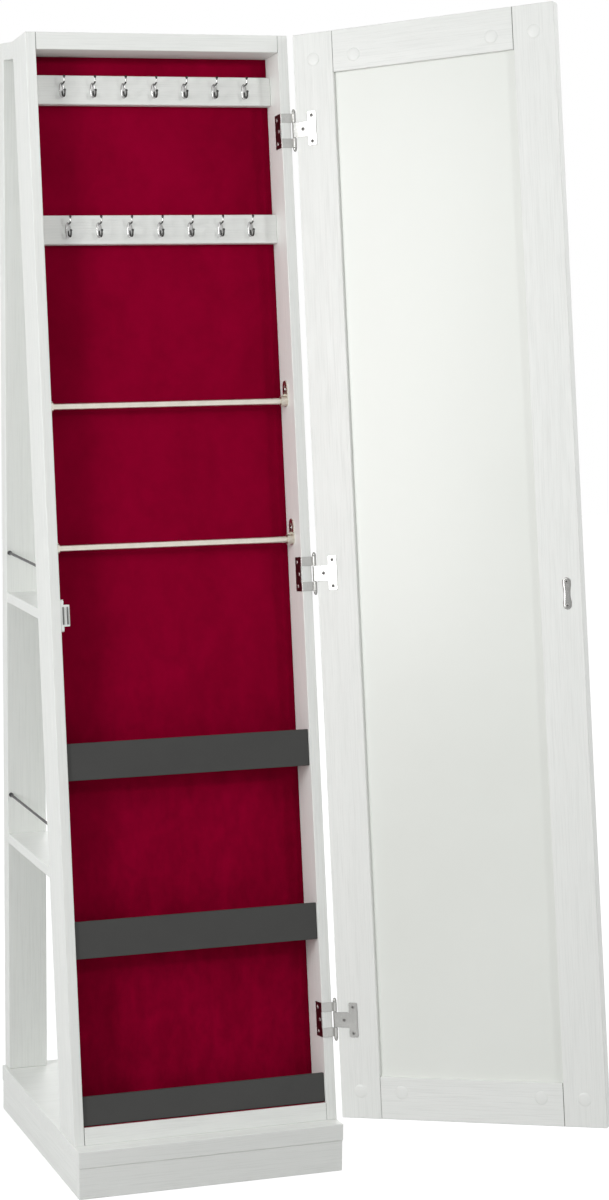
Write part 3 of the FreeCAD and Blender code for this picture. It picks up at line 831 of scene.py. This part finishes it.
def cabinetLeafPath():
    # along the inner wall, round the front corner, over the front edge and down to the barrel
    middle = hingeShape["leaf"] / 2
    bend = hingeShape["wallBend"]
    jog = hingeShape["armJog"]
    wall = cabinetFit["innerHalf"] - middle
    path = [(wall, hingeShape["wallDepth"])]
    for step in range(hingeShape["bendSteps"] + 1):
        turn = math.pi * (1 + step / (2 * hingeShape["bendSteps"]))
        path.append((wall + bend + bend * math.cos(turn), bend - middle + bend * math.sin(turn)))
    roll = rolledEnd()
    for step in range(hingeShape["armSteps"]):
        share = step / hingeShape["armSteps"]
        drop = (3 - 2 * share) * share ** 2  # level at both ends
        path.append((jog + share * (roll[0][0] - jog), -middle + drop * (roll[0][1] + middle)))
    return path + roll


def doorLeafPath():
    # flat on the door, straight into the roll
    level = hingeShape["doorFace"] + hingeShape["leaf"] / 2
    return [(across, level) for across in hingeShape["plate"]] + rolledEnd()


def settled(sheet):
    # modifiers made real, flats kept crisp and rolls kept smooth
    mesh = bakedMesh(sheet)
    sheet.modifiers.clear()
    sheet.data = mesh
    mesh.set_sharp_from_angle(angle=math.radians(hingeShape["sharpAngle"]))
    return sheet


def bentSheet(name, path, bands, roundCorners=()):
    # sheet metal: each band of heights covers its own part of the bent path
    shape = bmesh.new()
    corners = {}
    for low, high, last in bands:
        for step in range(last):
            ring = ((step, low), (step, high), (step + 1, high), (step + 1, low))
            for key in ring:
                if key not in corners:
                    corners[key] = shape.verts.new((*path[key[0]], key[1]))
            shape.faces.new([corners[key] for key in ring])
    if roundCorners:
        bmesh.ops.bevel(shape, geom=[corners[key] for key in roundCorners], offset=hingeShape["plateCorner"],
                        offset_type="OFFSET", segments=hingeShape["cornerSteps"], profile=0.5,
                        affect="VERTICES")
    sheet = addObject(name, meshFrom(name, shape))
    thick = sheet.modifiers.new("thickness", "SOLIDIFY")
    thick.thickness = hingeShape["leaf"]
    thick.offset = 0
    edge = sheet.modifiers.new("edge", "BEVEL")
    edge.width = hingeShape["edge"]
    edge.segments = 1
    edge.angle_limit = math.radians(hingeShape["edgeAngle"])
    return settled(sheet)


def turnedPin():
    # lathe work: one ring of points for each step of the outline
    end = hingeShape["halfHeight"]
    sides = pinShape["sides"]
    upper = [(pinShape["shaft"], end)] + [(radius, end + rise) for radius, rise in pinShape["tip"]]
    outline = [(radius, -height) for radius, height in reversed(upper)] + upper
    turns = [math.tau * side / sides for side in range(sides)]
    shape = bmesh.new()
    rings = []
    for radius, height in outline:
        rings.append([shape.verts.new((*aroundPin(radius, turn), height)) for turn in turns])
    for lower, higher in zip(rings, rings[1:]):
        for side in range(sides):
            after = (side + 1) % sides
            shape.faces.new([lower[side], lower[after], higher[after], higher[side]])
    shape.faces.new(list(reversed(rings[0])))
    shape.faces.new(rings[-1])
    mesh = meshFrom("pin", shape)
    mesh.set_sharp_from_angle(angle=math.radians(pinShape["sharpAngle"]))
    return addObject("pin", mesh)


def hingeTree():
    # one finished part repeated at every hinge
    tree, entry = startTree("hingeCopies", (), ("Part",))
    part = addNode(tree, "GeometryNodeObjectInfo", None, {"Object": entry.outputs["Part"]})
    return finishTree(tree, entry, part.outputs["Geometry"])


def paintedWallPlateShade(mesh):
    # painted shade: the plates on the box's wall take a darker copy of the steel than the arms over its
    # front edge, for the shade and dark reflection they sit in
    inBox = leanFrame.inverted()
    paintFaces(mesh, "shadedPlateSteel", lambda face: (inBox @ face.center).y > hingeShape["leaf"])


def makeHinges():
    end = hingeShape["halfHeight"]
    neck = hingeShape["neckHalf"]
    gap = hingeShape["windowHalf"]
    wallPath = cabinetLeafPath()
    doorPath = doorLeafPath()
    wallBands = ((-end, -gap, len(wallPath) - 1), (-gap, gap, 1), (gap, end, len(wallPath) - 1))
    doorBands = ((-end, -neck, 1), (-neck, neck, len(doorPath) - 1), (neck, end, 1))
    plateCorners = [(step, height) for step in (0, 1) for height in (-end, end)]
    cabinetLeaf = bentSheet("cabinetLeaf", wallPath, wallBands)
    doorLeaf = bentSheet("doorLeaf", doorPath, doorBands, plateCorners)
    parts = {
        "cabinetLeaves": (cabinetLeaf, "armSteel", "cabinet", leanFrame, "_hinge_cabinet_leaf"),
        "doorLeaves": (doorLeaf, "leafSteel", "door", doorFrame, "_hinge_door_leaf"),
        "hingePins": (turnedPin(), "leafSteel", "cabinet", leanFrame, None),
    }
    tree = hingeTree()
    heights = hingeShape["heights"]
    points = [(0, 0, height) for height in heights.values()]
    for name, (part, finish, body, place, ending) in parts.items():
        values = {"Part": part, "Material": finishes[finish]}
        mesh = bakePoints(name, tree, points, [(0, 0, 1)] * len(points), values, place)
        bpy.data.objects.remove(part)
        if name == "cabinetLeaves":
            paintedWallPlateShade(mesh)
        nodes = [height + ending for height in heights] if ending else ["hinge_pins"]
        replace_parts(addPiece(name, mesh, body), *nodes)


makeHinges()
print("hinges made")

strikeShape = {
    "across": -0.1772,
    "middle": 0.751,
    "halfLength": 0.0225,
    "halfWidth": 0.006,
    "tipWidth": 0.0002,
    "waistRadius": 0.050,
    "waistDepth": 0.0014,
    "crown": 0.0012,
    "flatness": 8,
    "edge": 0.0005,
    "endRound": 0.0025,
    "rows": 48,
    "columns": 28,
    "sharpAngle": 40,
}


def strikeHalfWidth(height):
    # round ends, sides drawn in to a waist
    half = strikeShape["halfWidth"]
    beyond = max(0.0, abs(height) - (strikeShape["halfLength"] - half))
    ends = math.sqrt(max(0.0, half ** 2 - beyond ** 2))
    waist = half + strikeShape["waistRadius"] - strikeShape["waistDepth"]
    drawnIn = waist - math.sqrt(strikeShape["waistRadius"] ** 2 - height ** 2)
    return max(strikeShape["tipWidth"], min(ends, drawnIn))


def strikeLine(height):
    # one cut across the plate: foot, rim, flat middle, rim, foot
    width = strikeHalfWidth(height)
    rim = strikeShape["edge"]
    fall = min(1.0, (strikeShape["halfLength"] - abs(height)) / strikeShape["endRound"])
    line = [(-width, 0)]
    for column in range(strikeShape["columns"] + 1):
        share = 2 * column / strikeShape["columns"] - 1
        bulge = (strikeShape["crown"] - rim) * (1 - share ** strikeShape["flatness"]) * fall * (2 - fall)
        line.append((share * width, rim + bulge))
    line.append((width, 0))
    return line


def makeStrike():
    # pressed plate, flat along the middle and rounded over at the rim
    shape = bmesh.new()
    rows = []
    for row in range(strikeShape["rows"] + 1):
        height = -math.cos(math.pi * row / strikeShape["rows"]) * strikeShape["halfLength"]
        rows.append([shape.verts.new((strikeShape["across"] + x, hingeShape["doorFace"] + rise,
                                      strikeShape["middle"] + height)) for x, rise in strikeLine(height)])
    for lower, higher in zip(rows, rows[1:]):
        for here in range(len(lower) - 1):
            shape.faces.new([lower[here], higher[here], higher[here + 1], lower[here + 1]])
        shape.faces.new([lower[-1], higher[-1], higher[0], lower[0]])
    shape.faces.new(list(reversed(rows[-1])))
    shape.faces.new(rows[0])
    bmesh.ops.recalc_face_normals(shape, faces=shape.faces)
    mesh = meshFrom("strike", shape)
    mesh.shade_smooth()
    mesh.set_sharp_from_angle(angle=math.radians(strikeShape["sharpAngle"]))
    mesh.transform(doorFrame)
    mesh.materials.append(finishes["strike"])
    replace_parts(addPiece("strike", mesh, "door"), "strike_plate")


makeStrike()
print("strike made")

screwHead = {
    "Head radius": 0.0029,
    "Head rise": 0.0006,
    "Recess reach": 0.0025,
    "Recess half width": 0.0011,
    "Recess depth": 0.00055,
    "steepness": 0.93,
    "sides": {"Segments": 24, "Rings": 12},
}
wallHead = {**screwHead, "Head rise": 0.0009}
panHead = {
    "Head radius": 0.0036,
    "Head rise": 0.0018,
    "Recess reach": 0.0025,
    "Recess half width": 0.0008,
    "Recess depth": 0.0016,
    "steepness": 0.75,
}


def screwTree():
    # domed head with a cross recess, drawn facing +Z with its rim at z = 0
    radius, rise = "Head radius", "Head rise"
    reach, width, depth = "Recess reach", "Recess half width", "Recess depth"
    tree, entry = startTree("crossScrew", (radius, rise, reach, width, depth))
    head = domeFrom(tree, entry, (radius, radius, rise), screwHead["sides"])
    lift = sizeFrom(tree, entry, (None, None, rise))
    recess = addNode(tree, "GeometryNodeMeshBoolean", None, {"Mesh 1": head}, {"operation": "DIFFERENCE"})
    for size in ((reach, width, depth), (width, reach, depth)):
        # a flat four-sided cone, point down
        cone = addNode(tree, "GeometryNodeMeshCone",
                       {"Vertices": 4, "Radius Top": 0.0, "Radius Bottom": 1.0, "Depth": 1.0})
        wedge = placed(tree, cone.outputs["Mesh"], {"Rotation": (math.pi, 0, 0)},
                       {"Scale": sizeFrom(tree, entry, size), "Translation": lift})
        tree.links.new(wedge, recess.inputs["Mesh 2"])
    return finishTree(tree, entry, recess.outputs["Mesh"], False)


def paintedRecessShade(mesh, points, facings, place, head):
    # painted shade: the steep faces inside a head's reach, the recess walls and any steep dome faces there,
    # take near-black paint where shade falls
    inside = place.inverted()

    def inRecess(face):
        middle = inside @ face.center
        point, facing = min(zip(points, facings), key=lambda spot: (middle - Vector(spot[0])).length)
        offset = middle - Vector(point)
        aside = offset - Vector(facing) * offset.dot(Vector(facing))
        steep = (inside.to_3x3() @ face.normal).dot(Vector(facing)) < head["steepness"]
        return steep and aside.length < head["Recess reach"]

    paintFaces(mesh, "recess", inRecess)


def screwRow(name, tree, body, node, points, facings, place, head, finish):
    mesh = bakePoints(name, tree, points, facings, {**head, "Material": finishes[finish]}, place)
    paintedRecessShade(mesh, points, facings, place, head)
    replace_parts(addPiece(name, mesh, body), node)


wallScrews = {"places": ((0.016, 0.0175), (0.009, 0.0), (0.016, -0.0175))}
doorLeafScrews = {"edge": 0.198, "places": ((0.0245, 0.019), (0.0105, 0.0), (0.0245, -0.019))}
bracketScrews = {"plate": 0.002, "depth": 0.032, "rods": (1.0505, 0.847), "aboveRod": 0.0175}
catchScrews = {"ear": 0.0045, "depth": 0.0065, "middle": 0.751, "offset": 0.0192}
strikeScrews = {"offset": 0.017}


def makeScrews():
    tree = screwTree()
    inner = cabinetFit["innerHalf"]
    middles = hingeShape["heights"].values()
    wallPoints = [(inner - hingeShape["leaf"], depth, middle + rise)
                  for middle in middles for depth, rise in wallScrews["places"]]
    screwRow("wallScrews", tree, "cabinet", "cabinet_screws", wallPoints, [(-1, 0, 0)] * len(wallPoints),
             leanFrame, wallHead, "wallScrew")
    panPoints = []
    panFacings = []
    for rod in bracketScrews["rods"]:
        for side in (-1, 1):
            panPoints.append((side * (inner - bracketScrews["plate"]), bracketScrews["depth"],
                              rod + bracketScrews["aboveRod"]))
            panFacings.append((-side, 0, 0))
    for side in (-1, 1):
        panPoints.append((catchScrews["ear"] - inner, catchScrews["depth"],
                          catchScrews["middle"] + side * catchScrews["offset"]))
        panFacings.append((1, 0, 0))
    screwRow("panScrews", tree, "cabinet", "cabinet_screws", panPoints, panFacings, leanFrame, panHead,
             "screw")
    doorFace = hingeShape["doorFace"] + hingeShape["leaf"]
    doorPoints = [(doorLeafScrews["edge"] - across, doorFace, middle + rise)
                  for middle in middles for across, rise in doorLeafScrews["places"]]
    doorPoints += [(strikeShape["across"], hingeShape["doorFace"] + strikeShape["crown"],
                    strikeShape["middle"] + side * strikeScrews["offset"]) for side in (-1, 1)]
    screwRow("doorScrews", tree, "door", "door_screws", doorPoints, [(0, 1, 0)] * len(doorPoints), doorFrame,
             screwHead, "leafScrew")


makeScrews()
print("screws made")

capRow = {
    "face": -0.002,
    "columns": (0.1675, 0.1045, -0.1045, -0.1675),
    "heights": (0.042, 1.545),
    "sides": {"Segments": 40, "Rings": 20},
    "Cap radius": 0.0095,
    "Cap rise": 0.00105,
}


def capTree():
    # shallow domed cover cap facing +Z
    radius, rise = "Cap radius", "Cap rise"
    tree, entry = startTree("coverCap", (radius, rise))
    return finishTree(tree, entry, domeFrom(tree, entry, (radius, radius, rise), capRow["sides"]))


def makeCaps():
    points = [(x, capRow["face"], z) for z in capRow["heights"] for x in capRow["columns"]]
    mesh = bakePoints("coverCaps", capTree(), points, [(0, 1, 0)] * len(points),
                      {**capRow, "Material": finishes["plastic"]}, doorFrame)
    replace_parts(addPiece("coverCaps", mesh, "door"), "door_cap_plugs")


makeCaps()
print("caps made")


# floor, light and camera

stageFit = {
    "floorSize": 14.0,
    "floorDrop": 0.0003,
    "floorTone": 0.45,
    "floorRoughness": 0.8,
    "floorGlow": 1.8,
    "glowShare": 0.5,
    "ambient": 0.405,
}


def seenRay(tree):
    # rays that meet the white room itself, straight on or in a reflection
    ray = addNode(tree, "ShaderNodeLightPath").outputs
    seen = worked(tree, "MAXIMUM", ray["Is Camera Ray"], ray["Is Glossy Ray"])
    return worked(tree, "MAXIMUM", seen, ray["Is Transmission Ray"])


def makeFloor():
    half = stageFit["floorSize"] / 2
    low = -stageFit["floorDrop"]
    corners = [(-half, -half, low), (half, -half, low), (half, half, low), (-half, half, low)]
    mesh = bpy.data.meshes.new("floor")
    mesh.from_pydata(corners, [], [(0, 1, 2, 3)])
    floor = addObject("floor", mesh)
    tone = (stageFit["floorTone"],) * 3 + (1,)
    material, tree, shader = startMaterial("paleFloor", {"Base Color": tone,
                                                         "Roughness": stageFit["floorRoughness"]})
    glow = addNode(tree, "ShaderNodeEmission", {"Color": (1, 1, 1, 1), "Strength": stageFit["floorGlow"]})
    share = worked(tree, "MULTIPLY", seenRay(tree), stageFit["glowShare"])
    mix = addNode(tree, "ShaderNodeMixShader", None,
                  {"Fac": share, 1: shader.outputs["BSDF"], 2: glow.outputs["Emission"]})
    tree.links.new(mix.outputs[0], tree.nodes["Material Output"].inputs["Surface"])
    mesh.materials.append(material)


def makeWorld():
    world = bpy.data.worlds.new("whiteRoom")
    bpy.context.scene.world = world
    world.use_nodes = True
    tree = world.node_tree
    background = tree.nodes["Background"]
    level = addNode(tree, "ShaderNodeMapRange", {"To Min": stageFit["ambient"], "To Max": 1.0},
                    {"Value": seenRay(tree)})
    background.inputs["Color"].default_value = (1, 1, 1, 1)
    tree.links.new(level.outputs["Result"], background.inputs["Strength"])


# leftBox lies on the open door as its soft sheen; a box without gloss only fills
softBoxes = {
    "leftBox": {
        "place": (-2.24, -1.345, 1.57), "aim": (0.1, -0.15, 1.0), "size": (0.56, 1.5),
        "power": 28, "gloss": True,
    },
    "farBox": {
        "place": (-2.5, -0.75, 1.6), "aim": (0.1, -0.15, 1.0), "size": (1.4, 1.5),
        "power": 15, "gloss": False,
    },
    "overheadBox": {
        "place": (-0.5, -1.8, 2.7), "aim": (0.0, -0.1, 1.3), "size": (1.2, 1.2),
        "power": 3, "gloss": True,
    },
    "rightBox": {
        "place": (1.9, -3.4, 2.7), "aim": (0.0, 0.0, 1.0), "size": (0.45, 0.45),
        "power": 30, "gloss": False,
    },
    "sideBox": {
        "place": (2.4, -0.6, 2.6), "aim": (0.45, -0.4, 1.3), "size": (0.8, 0.8),
        "power": 20, "gloss": True,
    },
    "rearBox": {
        "place": (1.4, 3.0, 2.4), "aim": (0.0, 0.1, 0.9), "size": (1.6, 1.6),
        "power": 36, "gloss": True,
    },
}


def makeLights():
    for name, box in softBoxes.items():
        lamp = bpy.data.lights.new(name, "AREA")
        lamp.shape = "RECTANGLE"
        lamp.size, lamp.size_y = box["size"]
        lamp.energy = box["power"]
        light = addObject(name, lamp)
        light.location = box["place"]
        aim = Vector(box["aim"]) - Vector(box["place"])
        light.rotation_euler = aim.to_track_quat("-Z", "Y").to_euler()
        light.visible_glossy = box["gloss"]


# fitted to the straight edges of box, plinth and door
cameraFit = {
    "place": (-1.2756, -3.8975, 1.4253),
    "yaw": 17.76,
    "pitch": 7.02,
    "focalPixels": 2828.3,
    "frame": (609, 1200),
    "axisPixel": (150.0, 529.8),
    "sensor": 36.0,
}


def makeCamera():
    lens = bpy.data.cameras.new("camera")
    width, height = cameraFit["frame"]
    lens.sensor_width = cameraFit["sensor"]
    lens.lens = cameraFit["focalPixels"] * lens.sensor_width / height
    lens.shift_x = (width / 2 - cameraFit["axisPixel"][0]) / height
    lens.shift_y = (cameraFit["axisPixel"][1] - height / 2) / height
    camera = addObject("camera", lens)
    camera.location = cameraFit["place"]
    camera.rotation_euler = (math.radians(90 - cameraFit["pitch"]), 0, -math.radians(cameraFit["yaw"]))
    bpy.context.scene.camera = camera


makeFloor()
makeWorld()
makeLights()
makeCamera()
bpy.context.scene.view_settings.view_transform = "Standard"
print("stage ready")
